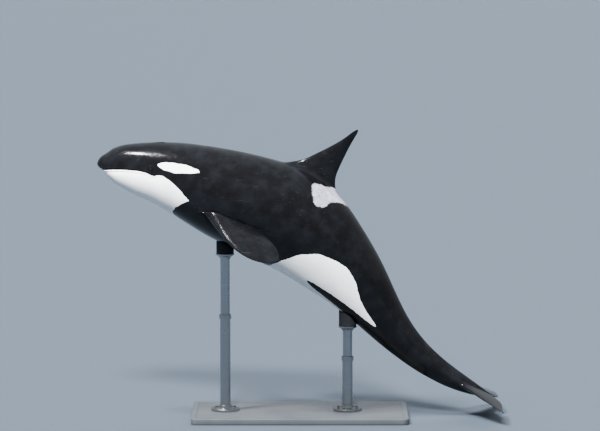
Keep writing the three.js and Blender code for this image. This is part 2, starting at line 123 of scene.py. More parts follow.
def spine_at(station):
    """Points of the spine line, with the directions to the tail and to the back there."""
    station = np.atleast_1d(np.asarray(station, float))
    inside = np.clip(station, 0, 1)
    pitch = np.radians(pitch_at(inside)[:, 0])
    tail = np.stack([np.cos(pitch), 0 * pitch, -np.sin(pitch)], 1)
    up = np.stack([np.sin(pitch), 0 * pitch, np.cos(pitch)], 1)
    x = np.interp(inside, spine_stations, spine_x)
    z = np.interp(inside, spine_stations, spine_z)
    point = np.stack([x, 0 * x, z], 1) + tail * ((station - inside) * BODY_LENGTH)[:, None]
    return point, tail, up


def nose_taper(station):
    """How much of its full section the snout has reached at a station."""
    return np.sqrt(1 - (1 - np.clip(station / NOSE_ROUND, 0, 1)) ** 2)


def skin_points(station, around):
    """Points on the skin; around is in degrees from the back, down over the left side."""
    station, around = np.broadcast_arrays(np.atleast_1d(station), np.atleast_1d(around))
    rise, drop, half, level, upper, lower = section_at(station).T
    taper = nose_taper(station)
    sine, cosine = np.sin(np.radians(around)), np.cos(np.radians(around))
    roundness = np.where(cosine >= 0, upper, lower)
    reach = np.where(cosine >= 0, rise - level, drop + level)
    across = np.sign(sine) * abs(sine) ** (2 / roundness)
    along = np.sign(cosine) * abs(cosine) ** (2 / roundness)
    point, tail, up = spine_at(station)
    point[:, 1] -= across * half * taper * BODY_LENGTH
    return point + up * ((level + along * reach) * taper * BODY_LENGTH)[:, None]


def body_coordinates(points):
    """For any points: station, height over the spine line, degrees from the back, and 1 on the skin."""
    coarse, nearby = slice(None, None, 8), 0.004
    far = (points[:, :1] - spine_x[coarse]) ** 2 + (points[:, 2:] - spine_z[coarse]) ** 2
    station = spine_stations[coarse][far.argmin(1)]
    for _ in range(5):
        centre, tail, up = spine_at(station)
        turn = pitch_at(station + nearby) - pitch_at(station - nearby)
        turn = np.radians(turn)[:, 0] / (2 * nearby)
        height = ((points - centre) * up).sum(1)
        station = station + ((points - centre) * tail).sum(1) / (BODY_LENGTH + height * turn)
        station = np.clip(station, -0.04, 1.04)
    centre, tail, up = spine_at(station)
    height = ((points - centre) * up).sum(1)
    rise, drop, half, level, upper, lower = section_at(station).T
    ahead = 1 - np.clip(station / NOSE_ROUND, 0, 1)
    above = height - level * nose_taper(station) * BODY_LENGTH
    reach = np.where(above >= 0, rise - level, drop + level) * BODY_LENGTH
    roundness = np.where(above >= 0, upper, lower)
    across, along = abs(points[:, 1]) / (half * BODY_LENGTH), abs(above) / reach
    outward = np.sqrt(ahead**2 + (across**roundness + along**roundness) ** (2 / roundness))
    around = np.degrees(np.arctan2(across ** (roundness / 2), np.sign(above) * along ** (roundness / 2)))
    return station, height, around, outward


def smooth_step(low, high, value):
    share = np.clip((value - low) / (high - low), 0, 1)
    return share * share * (3 - 2 * share)


FIN_FILLET = 0.003
FINS_FROM, FLUKES_FROM = (0.2, 0.215), (0.91, 0.89)


def onto_skin(points):
    """Points pressed out to the true sections, and left where a fin grows out of them."""
    for _ in range(3):
        station, height, around, outward = body_coordinates(points)
        past = outward - 1
        root = 1 + (past + np.sqrt(past**2 + FIN_FILLET**2)) / 2
        free = smooth_step(*FINS_FROM, station)
        wanted = (1 - free) + free * root
        scale = 1 + (wanted / outward - 1) * smooth_step(*FLUKES_FROM, station)
        nose = station < NOSE_ROUND
        moved = np.where(nose, NOSE_ROUND - (NOSE_ROUND - station) * scale, station)
        centre, tail, up = spine_at(station)
        level = section_at(station)[:, 3]
        middle = level * nose_taper(station) * BODY_LENGTH
        new_centre, tail, new_up = spine_at(moved)
        side = points[:, 1] * scale
        points = new_centre + new_up * (middle + (height - middle) * scale)[:, None]
        points[:, 1] = side
    return points


# The skin's mesh: a ring of 32 columns is drawn from the snout to the tail, ring by ring, in runs that
# each hold a first and a last station and the number of faces between them. A patch of some runs is
# then drawn out into a fin, so that every root is one smooth fillet.
COLUMNS = 32
RUNS = (
    (0.006, 0.05, 5), (0.05, 0.213, 11), (0.213, 0.293, 7), (0.293, 0.362, 5), (0.362, 0.474, 9),
    (0.474, 0.908, 26), (0.908, 0.996, 7), (0.996, 1.0, 1),
)
FLIPPER_RUN, DORSAL_RUN, FLUKE_RUN = 2, 4, 6
ring_stations = [RUNS[0][0]]
for start, end, faces in RUNS:
    ring_stations += list(np.linspace(start, end, faces + 1)[1:])
run_starts = np.concatenate(([0], np.cumsum([faces for start, end, faces in RUNS])))

bpy.ops.object.select_all(action="DESELECT")
bpy.ops.mesh.primitive_circle_add(vertices=COLUMNS, radius=1, fill_type="NOTHING")
skin = bpy.context.object
skin.name = skin.data.name = "orca_skin"
bpy.ops.object.mode_set(mode="EDIT")
cage = bmesh.from_edit_mesh(skin.data)
for layer_name in ("ring", "column"):
    cage.verts.layers.int.new(layer_name)


def cage_now():
    """The skin's mesh as it is being edited, with the layers for each vertex's ring and column."""
    cage = bmesh.from_edit_mesh(skin.data)
    return cage, cage.verts.layers.int["ring"], cage.verts.layers.int["column"]


def select_only(kind, chosen):
    """Selects only the vertices, edges or faces of the mesh being edited that pass a test."""
    bpy.ops.mesh.select_all(action="DESELECT")
    bpy.ops.mesh.select_mode(type=kind)
    mesh = bpy.context.edit_object.data
    edited = bmesh.from_edit_mesh(mesh)
    for item in {"VERT": edited.verts, "EDGE": edited.edges, "FACE": edited.faces}[kind]:
        item.select = chosen(item)
    edited.select_flush_mode()
    bmesh.update_edit_mesh(mesh)


select_only("VERT", lambda vertex: True)
bpy.ops.mesh.fill_grid(span=COLUMNS // 4, offset=0)
cage, ring_layer, column_layer = cage_now()
first_taper = nose_taper(ring_stations[0])
for vertex in cage.verts:
    angle = math.degrees(math.atan2(vertex.co.x, vertex.co.y)) % 360
    out = min(vertex.co.length, 1) * first_taper
    vertex[ring_layer] = -1 if vertex.co.length < 0.999 else 0
    vertex[column_layer] = round(angle * COLUMNS / 360) % COLUMNS
    vertex.co = skin_points(NOSE_ROUND * (1 - math.sqrt(1 - out**2)), angle)[0]
select_only("VERT", lambda vertex: vertex.is_boundary)

for number, station in enumerate(ring_stations[1:], 1):
    bpy.ops.mesh.extrude_region_move()
    cage, ring_layer, column_layer = cage_now()
    drawn = [v for v in cage.verts if v.select]
    places = skin_points(station, [v[column_layer] * 360 / COLUMNS for v in drawn])
    for vertex, place in zip(drawn, places):
        vertex[ring_layer] = number
        vertex.co = place
    bmesh.update_edit_mesh(skin.data)
bpy.ops.mesh.fill_grid(span=COLUMNS // 4, offset=0)


# Fins: the dorsal fin, the flippers and the flukes are stiff and thin-edged, and grow out of the same
# hide. A row holds the distance out, the front edge and the rear edge along the chord, and half the
# thickness, in millimetres. The flipper's rows also hold where its bent middle line heads.
DORSAL_STATION, DORSAL_LEAN = 0.45, -4.3
DORSAL_ROWS = (
    (520, -640, 190, 120), (640, -612, 172, 104), (700, -540, 132, 84), (760, -455, 95, 68),
    (850, -374, 72, 56), (960, -300, 60, 47), (1080, -214, 53, 39), (1200, -136, 46, 31),
    (1310, -72, 44, 23), (1400, -33, 48, 16), (1455, -8, 50, 10), (1484, 10, 47, 6),
    (1498, 23, 39, 4),
)
FLIPPER_STATION, FLIPPER_AROUND, FLIPPER_SPLAY, FLIPPER_FLARE = 0.28, 110.5, 53, 11
FLIPPER_ROWS = (
    (-210, -150, 150, 96, 45), (-90, -160, 160, 92, 43), (0, -166, 170, 84, 40),
    (80, -168, 178, 70, 37), (180, -180, 198, 58, 33), (310, -206, 228, 48, 28),
    (460, -234, 252, 41, 23), (620, -250, 262, 34, 20), (760, -242, 246, 27, 18),
    (880, -208, 206, 21, 17), (970, -154, 150, 15, 17), (1030, -96, 92, 10, 17),
    (1062, -42, 42, 5, 17),
)
FLUKE_PITCH, FLUKE_DROOP = 22, 0.04
FLUKE_ROWS = (
    (10, -590, 2, 76), (45, -545, 30, 62), (90, -500, 58, 48), (150, -452, 82, 39),
    (230, -396, 98, 34), (340, -322, 108, 29), (460, -243, 108, 24), (590, -156, 103, 18),
    (700, -76, 101, 13), (785, -4, 107, 9), (840, 52, 119, 6), (868, 90, 127, 4),
)
FIN_FULLNESS, FIN_EDGE_ROUND = 2.05, 0.42
MILLIMETRE = 0.001


def metres(rows):
    """Rows of a fin with their four lengths in metres."""
    return [[x * MILLIMETRE for x in row[:4]] + list(row[4:]) for row in rows]


def fin_offsets(row, share, side):
    """Along the chord and off it, for a row's front, rear and half thickness."""
    front, rear, half = row[:, 0], row[:, 1], row[:, 2]
    fullness = FIN_FULLNESS * np.sqrt(share) * (1 - share)
    fullness += FIN_EDGE_ROUND * np.sqrt(share * (1 - share))
    return front + (rear - front) * share, side * half * fullness


def turned(vector, degrees):
    """A vector in the model's middle plane, tilted about the axis to the right side."""
    c, s = math.cos(math.radians(degrees)), math.sin(math.radians(degrees))
    return np.array([vector[0] * c + vector[2] * s, vector[1], vector[2] * c - vector[0] * s])


dorsal_row = curve_through(metres(DORSAL_ROWS))


def dorsal_surface(distance, share, side):
    (origin,), (tail,), (up,) = spine_at(DORSAL_STATION)
    chord, span = turned(tail, DORSAL_LEAN), turned(up, DORSAL_LEAN)
    along, off = fin_offsets(dorsal_row(distance), share, side)
    left = np.array([0.0, -1.0, 0.0])
    return origin + np.outer(distance, span) + np.outer(along, chord) + np.outer(off, left)


flipper_row = curve_through(metres(FLIPPER_ROWS))
(flipper_root,) = skin_points(FLIPPER_STATION, FLIPPER_AROUND)
_, (flipper_back,), (flipper_away,) = spine_at(FLIPPER_STATION)
flare, splay = math.radians(FLIPPER_FLARE), math.radians(FLIPPER_SPLAY)
flipper_back = flipper_back * math.cos(flare) + np.array([0, -math.sin(flare), 0])
flipper_away = flipper_away * -math.cos(splay) + np.array([0, -math.sin(splay), 0])
flipper_away -= flipper_back * (flipper_away @ flipper_back)
flipper_away /= np.linalg.norm(flipper_away)
flipper_under = -np.cross(flipper_back, flipper_away)


def flipper_heading(degrees):
    turn = np.radians(degrees)
    return np.outer(np.cos(turn), flipper_back) + np.outer(np.sin(turn), flipper_away)


flipper_line = np.linspace(FLIPPER_ROWS[0][0], FLIPPER_ROWS[-1][0], 200) * MILLIMETRE
flipper_steps = flipper_heading(flipper_row((flipper_line[1:] + flipper_line[:-1]) / 2)[:, 3])
flipper_steps *= flipper_line[1] - flipper_line[0]
flipper_middle = np.concatenate(([[0, 0, 0]], np.cumsum(flipper_steps, 0)))
flipper_middle += flipper_root + flipper_heading([FLIPPER_ROWS[0][4]])[0] * flipper_line[0]


def flipper_surface(distance, share, side):
    row = flipper_row(distance)
    along, off = fin_offsets(row, share, side)
    middle = np.stack([np.interp(distance, flipper_line, flipper_middle[:, k]) for k in range(3)], 1)
    chord = flipper_heading(row[:, 3] - 90)
    return middle + chord * along[:, None] + np.outer(off, flipper_under)


fluke_row = curve_through(metres(FLUKE_ROWS))
(tail_end,), _, _ = spine_at(1.0)
fluke_chord = turned(np.array([1.0, 0.0, 0.0]), FLUKE_PITCH)
fluke_up = turned(np.array([0.0, 0.0, 1.0]), FLUKE_PITCH)


def fluke_surface(distance, share, side):
    along, off = fin_offsets(fluke_row(distance), share, side)
    droop = FLUKE_DROOP * (distance / (FLUKE_ROWS[-1][0] * MILLIMETRE)) ** 2
    point = tail_end + np.outer(along, fluke_chord) - np.outer(droop + off, fluke_up)
    point[:, 1] -= distance
    return point


def draw_out_fin(run, columns, surface, rows, levels, mirror=1, root=None):
    """Draws a patch of the skin out along a fin, at levels that are shares of the way to its tip."""
    if mirror < 0:
        columns = [COLUMNS - column for column in columns]
    cage, ring_layer, column_layer = cage_now()
    first, last = run_starts[run], run_starts[run + 1]
    wide = len(columns) - 1
    loop = [(first, columns[k]) for k in range(wide // 2, wide)]
    loop += [(ring, columns[wide]) for ring in range(first, last)]
    loop += [(last, columns[k]) for k in range(wide, 0, -1)]
    loop += [(ring, columns[0]) for ring in range(last, first, -1)]
    loop += [(first, columns[k]) for k in range(wide // 2)]
    turn = 2 * np.pi * np.arange(len(loop)) / len(loop)
    share, side = (1 - np.cos(turn)) / 2, np.sign(np.round(np.sin(turn), 9))
    start, end = rows[0][0] * MILLIMETRE, rows[-1][0] * MILLIMETRE
    if root is None:
        low, high = np.full(len(loop), start), np.full(len(loop), end)
        for _ in range(24):
            middle = (low + high) / 2
            outside = body_coordinates(surface(middle, share, side))[3] > 1
            low, high = np.where(outside, low, middle), np.where(outside, middle, high)
        root = low
    else:
        root = root[0] + (root[1] - root[0]) * share
    places = {spot: number for number, spot in enumerate(loop)}
    patch = set(places) | {(ring, column) for ring in range(first, last + 1) for column in columns}
    select_only("FACE", lambda face: all((v[ring_layer], v[column_layer]) in patch for v in face.verts))
    for level in levels:
        bpy.ops.mesh.extrude_region_move()
        cage, ring_layer, column_layer = cage_now()
        points = surface(root + level * (end - root), share, side)
        points[:, 1] *= mirror
        for vertex in (v for v in cage.verts if v.select):
            spot = (vertex[ring_layer], vertex[column_layer])
            if spot in places:
                vertex.co = points[places[spot]]
                continue
            near = points[places[(spot[0], columns[0])]]
            far = points[places[(spot[0], columns[wide])]]
            vertex.co = near + (far - near) * columns.index(spot[1]) / wide
        bmesh.update_edit_mesh(skin.data)
    cage, ring_layer, column_layer = cage_now()
    for vertex in (v for v in cage.verts if v.select):
        vertex[ring_layer] = -2
    bmesh.update_edit_mesh(skin.data)


FIN_LEVELS = (0.1, 0.18, 0.28, 0.39, 0.5, 0.61, 0.72, 0.82, 0.9, 0.96, 1)
FILLET_LEVELS = (0.04, *FIN_LEVELS)
FLUKE_ROOT, FLUKE_PATCH = (0.118, 0.046), [6, 7, 8, 9, 10]
draw_out_fin(DORSAL_RUN, [31, 0, 1], dorsal_surface, DORSAL_ROWS, FILLET_LEVELS)
for mirror in (1, -1):
    draw_out_fin(FLIPPER_RUN, [9, 10, 11], flipper_surface, FLIPPER_ROWS, FILLET_LEVELS, mirror)
for mirror in (1, -1):
    levels = (0, *FIN_LEVELS)
    draw_out_fin(FLUKE_RUN, FLUKE_PATCH, fluke_surface, FLUKE_ROWS, levels, mirror, FLUKE_ROOT)


def end_editing():
    """Turns every face of the mesh being edited outwards, and leaves edit mode."""
    bpy.ops.mesh.select_all(action="SELECT")
    bpy.ops.mesh.normals_make_consistent(inside=False)
    bpy.ops.object.mode_set(mode="OBJECT")


end_editing()
smoothing = skin.modifiers.new("smooth skin", "SUBSURF")
smoothing.levels = smoothing.render_levels = 2
bpy.ops.object.modifier_apply(modifier=smoothing.name)


def vectors_of(items, name="co"):
    """A vector of every vertex or face of a mesh."""
    flat = np.empty(len(items) * 3, np.float32)
    items.foreach_get(name, flat)
    return flat.reshape(-1, 3).astype(float)


def move_vertices(mesh, points):
    mesh.vertices.foreach_set("co", points.astype(np.float32).ravel())
    mesh.update()


def keep_on_points(mesh, name, values):
    """Keeps a number at every vertex, for the material to read."""
    mesh.attributes.new(name, "FLOAT", "POINT").data.foreach_set("value", values.astype(np.float32))


# Mouth, eyes, blowhole and the slits of the belly: folds of the same skin, pressed into it once its
# mesh is fine enough there. Each row of a relief is a ridge, or a groove where it is below zero: its
# height, how far off its line it lies, and its width, in metres.
MOUTH = (
    (0, -0.059), (0.009, -0.055), (0.03, -0.027), (0.0555, 0.002), (0.082, 0.02), (0.098, 0.0245),
    (0.109, 0.018), (0.119, -0.005),
)
MOUTH_RELIEF = ((-0.015, 0, 0.0055), (0.0035, 0.016, 0.009), (0.005, -0.018, 0.01))
JAW_SET_BACK, JAW_STEP, JAW_FADE, HEAD_END, FAR = 0.004, (0, -0.012), (-0.09, -0.03), 0.15, 9.0
mouth_height = curve_through(MOUTH)
mouth_line = np.linspace(0, MOUTH[-1][0], 120)
mouth_line = np.stack([mouth_line * BODY_LENGTH, mouth_height(mouth_line)[:, 0]], 1)


def from_line(spots, line):
    """How far spots are from a line through points."""
    nearest = np.full(len(spots), np.inf)
    for start, end in zip(line[:-1], line[1:]):
        run = end - start
        share = np.clip(((spots - start) @ run) / max(run @ run, 1e-9), 0, 1)
        nearest = np.minimum(nearest, ((spots - start - share[:, None] * run) ** 2).sum(1))
    return np.sqrt(nearest)


def mouth_distance(station, height):
    """How far points are from the mouth line, in metres, below zero under it."""
    distance = from_line(np.stack([station * BODY_LENGTH, height], 1), mouth_line)
    return np.where(height > mouth_height(station)[:, 0], distance, -distance)


def skin_frame(station, around):
    """A place on the left half of the skin: the point, and the ways to the tail, up the side and out."""
    point = skin_points(station, around)[0]
    tail = skin_points(station + 0.002, around)[0] - skin_points(station - 0.002, around)[0]
    side = skin_points(station, around - 1)[0] - skin_points(station, around + 1)[0]
    tail /= np.linalg.norm(tail)
    out = np.cross(tail, side)
    out /= np.linalg.norm(out)
    out *= np.sign(out @ (point - spine_at(station)[0][0]))
    return point, tail, np.cross(out, tail) * np.sign(np.cross(out, tail) @ side), out


def around_at_height(station, height):
    arounds = np.linspace(0, 180, 1801)
    point, tail, up = spine_at(station)
    heights = (skin_points(station, arounds) - point) @ up[0]
    return arounds[abs(heights - height).argmin()]


# A mound holds its half length, half width and height. A step, edge, ends or fade holds where a detail
# stops and where it is whole. Past its reach a detail leaves the skin alone, and fine is how far the
# finest mesh goes round it; the belly's is a strip, with a middle, a half length and a half width.
EYE_STATION, EYE_HEIGHT, EYE_RADIUS, EYE_SINK = 0.1125, 0.084, 0.027, 0.019
EYE_LONG, EYE_TALL, EYE_DEPTH, EYE_REACH, EYE_FINE = 0.026, 0.0125, 0.034, 0.09, 0.034
EYE_MOUND, LID_RELIEF, LID_EDGE = (0.066, 0.05, 0.012), ((0.0028, 0.0035, 0.0028),), (0.0012, -0.0042)
FOLD_ABOVE, FOLD_BELOW = ((-0.0032, 0.0135, 0.0035),), ((-0.002, 0.0135, 0.0035),)
FOLD_FADE = (0.05, 0.03)
BLOWHOLE_STATION, BLOWHOLE_RADIUS, BLOW_REACH, BLOW_FINE = 0.119, 0.0545, 0.2, 0.062
BLOW_MOUND, BLOW_ENDS, PLUG_RISE, PLUG_EDGE = (0.165, 0.12, 0.006), (80, 66), 0.003, (0.048, 0.02)
BLOW_RELIEF = ((-0.026, BLOWHOLE_RADIUS, 0.0055), (0.003, BLOWHOLE_RADIUS + 0.0145, 0.008))
NAVEL_STATION, NAVEL_LONG, NAVEL_REACH, NAVEL_FINE = 0.445, 0.024, 0.1, 0.03
NAVEL_PIT, NAVEL_RIM = ((-0.007, 0, 0.008),), ((0.003, 0.018, 0.007),)
SLIT_STATION, SLIT_RELIEF = 0.652, ((-0.013, 0, 0.0065), (0.004, 0.015, 0.008))
SIDE_SLIT_RELIEF = ((-0.008, 0.046, 0.0045), (0.002, 0.046, 0.014))
SLIT_ENDS, SIDE_SLIT_ENDS, SIDE_SLIT_BEHIND = (0.1, 0.075), (0.05, 0.035), 0.005
BELLY_REACH, BELLY_FINE = 0.4, (0.03, 0.15, 0.06)
VENT_BEHIND_SLIT, VENT_RELIEF = 0.155, ((-0.009, 0, 0.009),)
eye_frame = skin_frame(EYE_STATION, around_at_height(EYE_STATION, EYE_HEIGHT))
blow_frame = skin_frame(BLOWHOLE_STATION, 0.01)
navel_frame = skin_frame(NAVEL_STATION, 179.99)
slit_frame = skin_frame(SLIT_STATION, 179.99)


def in_frame(points, place):
    """Distances tailwards and up the side from a place, for points folded over to the left side."""
    folded = np.stack([points[:, 0], -abs(points[:, 1]), points[:, 2]], 1)
    away = folded - place[0]
    near = np.linalg.norm(away, axis=1)
    return away @ place[1], away @ place[2], near


def detail_distance(points):
    """How far points are from the nearest fine detail of the skin."""
    station, height, around, outward = body_coordinates(points)
    nearest = abs(mouth_distance(station, height)) + np.where(station > HEAD_END, FAR, 0)
    for place, fine in ((eye_frame, EYE_FINE), (blow_frame, BLOW_FINE), (navel_frame, NAVEL_FINE)):
        nearest = np.minimum(nearest, in_frame(points, place)[2] - fine)
    along, across, near = in_frame(points, slit_frame)
    middle, long, wide = BELLY_FINE
    belly = np.maximum(abs(along - middle) - long, abs(points[:, 1]) - wide)
    return np.minimum(nearest, np.where(near < BELLY_REACH, belly, FAR))


# The mesh is made finer three times, each time closer to the details
for reach in (0.05, 0.026, 0.011):
    near = detail_distance(vectors_of(skin.data.polygons, "center")) < reach
    for part in (skin.data.vertices, skin.data.edges):
        part.foreach_set("select", np.zeros(len(part), bool))
    skin.data.polygons.foreach_set("select", near)
    bpy.context.scene.tool_settings.mesh_select_mode = (False, False, True)
    bpy.ops.object.mode_set(mode="EDIT")
    bpy.ops.mesh.subdivide(number_cuts=1, ngon=False)
    bpy.ops.object.mode_set(mode="OBJECT")

places = onto_skin(vectors_of(skin.data.vertices))
move_vertices(skin.data, places)
normals = vectors_of(skin.data.vertices, "normal")
station, height, around, outward = body_coordinates(places)


def ridge(distance, middle, width):
    return np.exp(-(((distance - middle) / width) ** 2))


def relief(distance, rows):
    return sum(high * ridge(distance, off, width) for high, off, width in rows)


def mound(along, across, long, wide, high):
    return high * np.clip(1 - (along / long) ** 2 - (across / wide) ** 2, 0, 1) ** 2


# Mouth: a narrow groove between two soft lips, with the lower jaw set back a little
from_mouth = mouth_distance(station, height)
lift = relief(from_mouth, MOUTH_RELIEF)
lift -= JAW_SET_BACK * smooth_step(*JAW_STEP, from_mouth) * smooth_step(*JAW_FADE, from_mouth)
lift *= station < HEAD_END

# Eyes: a low mound, an almond opening between two lids, and a fold above and below them
along, across, near = in_frame(places, eye_frame)
opening = abs(across) - EYE_TALL * (1 - (along / EYE_LONG) ** 2)
opening = np.where(abs(along) < EYE_LONG, opening, np.hypot(abs(along) - EYE_LONG, across))
eye = mound(along, across, *EYE_MOUND) + relief(opening, LID_RELIEF)
fold = np.where(across > 0, relief(opening, FOLD_ABOVE), relief(opening, FOLD_BELOW))
eye += fold * smooth_step(*FOLD_FADE, near)
eye -= EYE_DEPTH * smooth_step(*LID_EDGE, opening)
lift += np.where(near < EYE_REACH, eye, 0)

# Blowhole: a crescent slit on a low mound, its tips to the snout and a soft plug inside its curve
along, across, near = in_frame(places, blow_frame)
side = abs(places[:, 1])
from_centre = np.hypot(along, side)
ends = smooth_step(*BLOW_ENDS, np.degrees(np.arctan2(side, along)))
blow = mound(along, side, *BLOW_MOUND) + relief(from_centre, BLOW_RELIEF) * ends
blow += PLUG_RISE * smooth_step(*PLUG_EDGE, from_centre)
lift += np.where(near < BLOW_REACH, blow, 0)

# Belly: the navel, the genital slit with a short slit on either side, and the vent
along, across, near = in_frame(places, navel_frame)
navel = relief(side, NAVEL_PIT) * ridge(along, 0, NAVEL_LONG)
navel += relief(np.hypot(along / 2, side), NAVEL_RIM)
lift += np.where(near < NAVEL_REACH, navel, 0)
along, across, near = in_frame(places, slit_frame)
belly = relief(side, SLIT_RELIEF) * smooth_step(*SLIT_ENDS, abs(along))
beside = abs(along - SIDE_SLIT_BEHIND)
belly += relief(side, SIDE_SLIT_RELIEF) * smooth_step(*SIDE_SLIT_ENDS, beside)
belly += relief(np.hypot(along - VENT_BEHIND_SLIT, side), VENT_RELIEF)
lift += np.where(near < BELLY_REACH, belly, 0)
move_vertices(skin.data, places + normals * lift[:, None])


# Markings: white chin, throat, belly and flank lobes, a white patch over each eye, a grey saddle
# behind the fin and pale undersides to the flukes. Each is kept on the skin as a signed distance in
# millimetres from its edge. Outlines hold stations and degrees from the back, alike on both sides.
WHITE_BELLY = (
    (0.085, 104), (0.1, 92), (0.112, 88), (0.1189, 87.2), (0.1228, 86.8), (0.1268, 85.2),
    (0.1348, 83.2), (0.1438, 84), (0.1528, 86), (0.1628, 88.4), (0.1728, 91.8),
    (0.1828, 95.6), (0.1938, 101.4), (0.2017, 104.7), (0.2087, 106.2), (0.2065, 108.5),
    (0.2008, 112), (0.1928, 119.6), (0.1855, 128.1), (0.182, 136), (0.18, 145), (0.181, 154),
    (0.19, 163), (0.21, 169), (0.245, 172.5), (0.3, 173.5), (0.36, 173.5), (0.4, 173),
    (0.42, 170.5), (0.4305, 163), (0.4402, 147.5), (0.449, 137), (0.4578, 128.8),
    (0.4666, 121.4), (0.4744, 114.5), (0.4844, 109.5), (0.4944, 105), (0.5044, 100),
    (0.5154, 96.4), (0.5283, 93.8), (0.5423, 91.3), (0.5553, 87.8), (0.5703, 85.2),
    (0.5843, 86), (0.5963, 88), (0.6102, 91.4), (0.6245, 97.5), (0.645, 106), (0.67, 113),
    (0.695, 118), (0.712, 122), (0.708, 127), (0.69, 131), (0.665, 133), (0.635, 135),
    (0.6, 137), (0.57, 139), (0.545, 140), (0.533, 143), (0.545, 148), (0.57, 152), (0.6, 156),
    (0.63, 160), (0.655, 164), (0.68, 169), (0.698, 175), (0.705, 184), (0.7, 200), (0.5, 204),
    (0.3, 204), (0.15, 204), (0.085, 200), (0.08, 150),
)
EYE_PATCH = (
    (0.1245, 65.6), (0.1298, 63.4), (0.1368, 60.6), (0.1448, 59.8), (0.1528, 59.1),
    (0.1608, 58.8), (0.1688, 58.7), (0.1768, 58.7), (0.1848, 58.9), (0.1938, 59.6),
    (0.2017, 60.6), (0.2087, 62), (0.2127, 63), (0.2125, 63.8), (0.2107, 64.8),
    (0.2047, 66.6), (0.1978, 68.6), (0.1898, 70.1), (0.1818, 71.5), (0.1738, 72.6),
    (0.1658, 74), (0.1578, 74.4), (0.1488, 73.6), (0.1408, 73), (0.1322, 70.5),
    (0.1272, 68.4), (0.125, 66.6),
)
SADDLE = (
    (0.4235, 28), (0.425, 33.9), (0.4305, 40), (0.437, 46.8), (0.4434, 51.6), (0.4494, 52.6),
    (0.4545, 51), (0.4604, 47.8), (0.4648, 40.5), (0.469, 33), (0.477, 25.5), (0.4868, 17.2),
    (0.495, 8), (0.499, -2), (0.497, -16), (0.47, -20), (0.464, -8), (0.4575, 3),
    (0.4515, 11), (0.4435, 16), (0.4375, 18.5), (0.4325, 21.5), (0.4275, 24.5),
)
# Millimetres of skin to a degree, how far under the mouth line the chin turns white, how much crisper
# that edge is than the others, and how round the chin's white joins the throat's
DEGREE, LIP_BLACK, LIP_CRISPNESS, JOIN_ROUND = 9.0, 9, 2.5, 8
# Past this share of the body's section, on a fin, the body's markings fall away this steeply, to as far
# off as FAR_OFF. The chin's white counts as this deep at most. Both are in millimetres.
FIN_FROM, FIN_FALL, FAR_OFF, CHIN_DEEPEST = 1.04, 2000, 400, 60
# The pale underside of a fluke: shares of its chord and metres from the middle, then the station and
# the distance from the middle past which it may be, and the millimetres that stand for none
PALE_CHORD, PALE_SPAN = (0.1, 0.86), (0.12, 0.83)
PALE_STATION, PALE_MIDDLE, NOT_PALE = 0.9, 0.08, -200


body_mm = BODY_LENGTH / MILLIMETRE


def rounded(outline, steps=6):
    """A closed outline made smooth between its points, in millimetres over the unrolled skin."""
    points = np.array(outline, float) * [body_mm, DEGREE]
    count = len(points)
    closed = curve_through([(k, *points[k % count]) for k in range(-1, count + 2)])
    return closed(np.arange(count * steps) / steps)


def inside(spots, outline):
    """The distance in from an outline's edge, below zero outside it."""
    points = rounded(outline)
    points = np.concatenate([points, points[:1]])
    within = np.zeros(len(spots), bool)
    for start, end in zip(points[:-1], points[1:]):
        crosses = (start[1] > spots[:, 1]) != (end[1] > spots[:, 1])
        slope = (end[0] - start[0]) / (end[1] - start[1] or 1)
        within ^= crosses & (spots[:, 0] < start[0] + (spots[:, 1] - start[1]) * slope)
    return np.where(within, 1, -1) * from_line(spots, points)


unrolled = np.stack([station * body_mm, around * DEGREE], 1)
off_body = np.clip((outward - FIN_FROM) * FIN_FALL, 0, FAR_OFF)
chin = -LIP_CRISPNESS * (from_mouth / MILLIMETRE + LIP_BLACK)
chin = np.clip(np.minimum(chin, (MOUTH[-1][0] - station) * body_mm), -FAR_OFF, CHIN_DEEPEST)
white = JOIN_ROUND * np.logaddexp(inside(unrolled, WHITE_BELLY) / JOIN_ROUND, chin / JOIN_ROUND)
white = np.maximum(white, inside(unrolled, EYE_PATCH)) - off_body
saddle = inside(unrolled, SADDLE) - off_body

from_middle = abs(places[:, 1])
front, rear = fluke_row(from_middle)[:, :2].T
share = ((places - tail_end) @ fluke_chord - front) / (rear - front)
margin = np.minimum(share - PALE_CHORD[0], PALE_CHORD[1] - share) * (rear - front)
margin = np.minimum(margin, np.minimum(from_middle - PALE_SPAN[0], PALE_SPAN[1] - from_middle))
under = (normals @ fluke_up < 0) & (station > PALE_STATION) & (from_middle > PALE_MIDDLE)
pale_fluke = np.where(under, margin / MILLIMETRE, NOT_PALE)

for name, values in (("white", white), ("saddle", saddle), ("pale_fluke", pale_fluke)):
    keep_on_points(skin.data, name, values)


# Skin finish: an orca's hide is smooth, tight and rubbery, like a wet inner tube. The black is nearly
# neutral with faint mottling and a few pale scratches, the white is clean, and a film of water gives
# both a narrow, broken shine.
def linear(hexadecimal):
    """A linear colour from an sRGB hex value."""
    shares = [int(hexadecimal[k : k + 2], 16) / 255 for k in (1, 3, 5)]
    return (*[c / 12.92 if c <= 0.04045 else ((c + 0.055) / 1.055) ** 2.4 for c in shares], 1)


def per_metre(size):
    """The scale of a pattern whose features are this many millimetres across."""
    return 1 / (size * MILLIMETRE)


def new_material(name):
    material = bpy.data.materials.new(name)
    material.use_nodes = True
    return material, material.node_tree.nodes["Principled BSDF"]


def feed(material, node, inputs):
    """Gives inputs of a node their links or their plain values."""
    for name, value in inputs.items():
        if isinstance(value, bpy.types.NodeSocket):
            material.node_tree.links.new(value, node.inputs[name])
        else:
            node.inputs[name].default_value = value


def add_node(material, kind, output, inputs, **settings):
    """Adds a node with its settings and links, and gives back one of its outputs."""
    node = material.node_tree.nodes.new("ShaderNode" + kind)
    for name, value in settings.items():
        setattr(node, name, value)
    feed(material, node, inputs)
    return node.outputs[output]


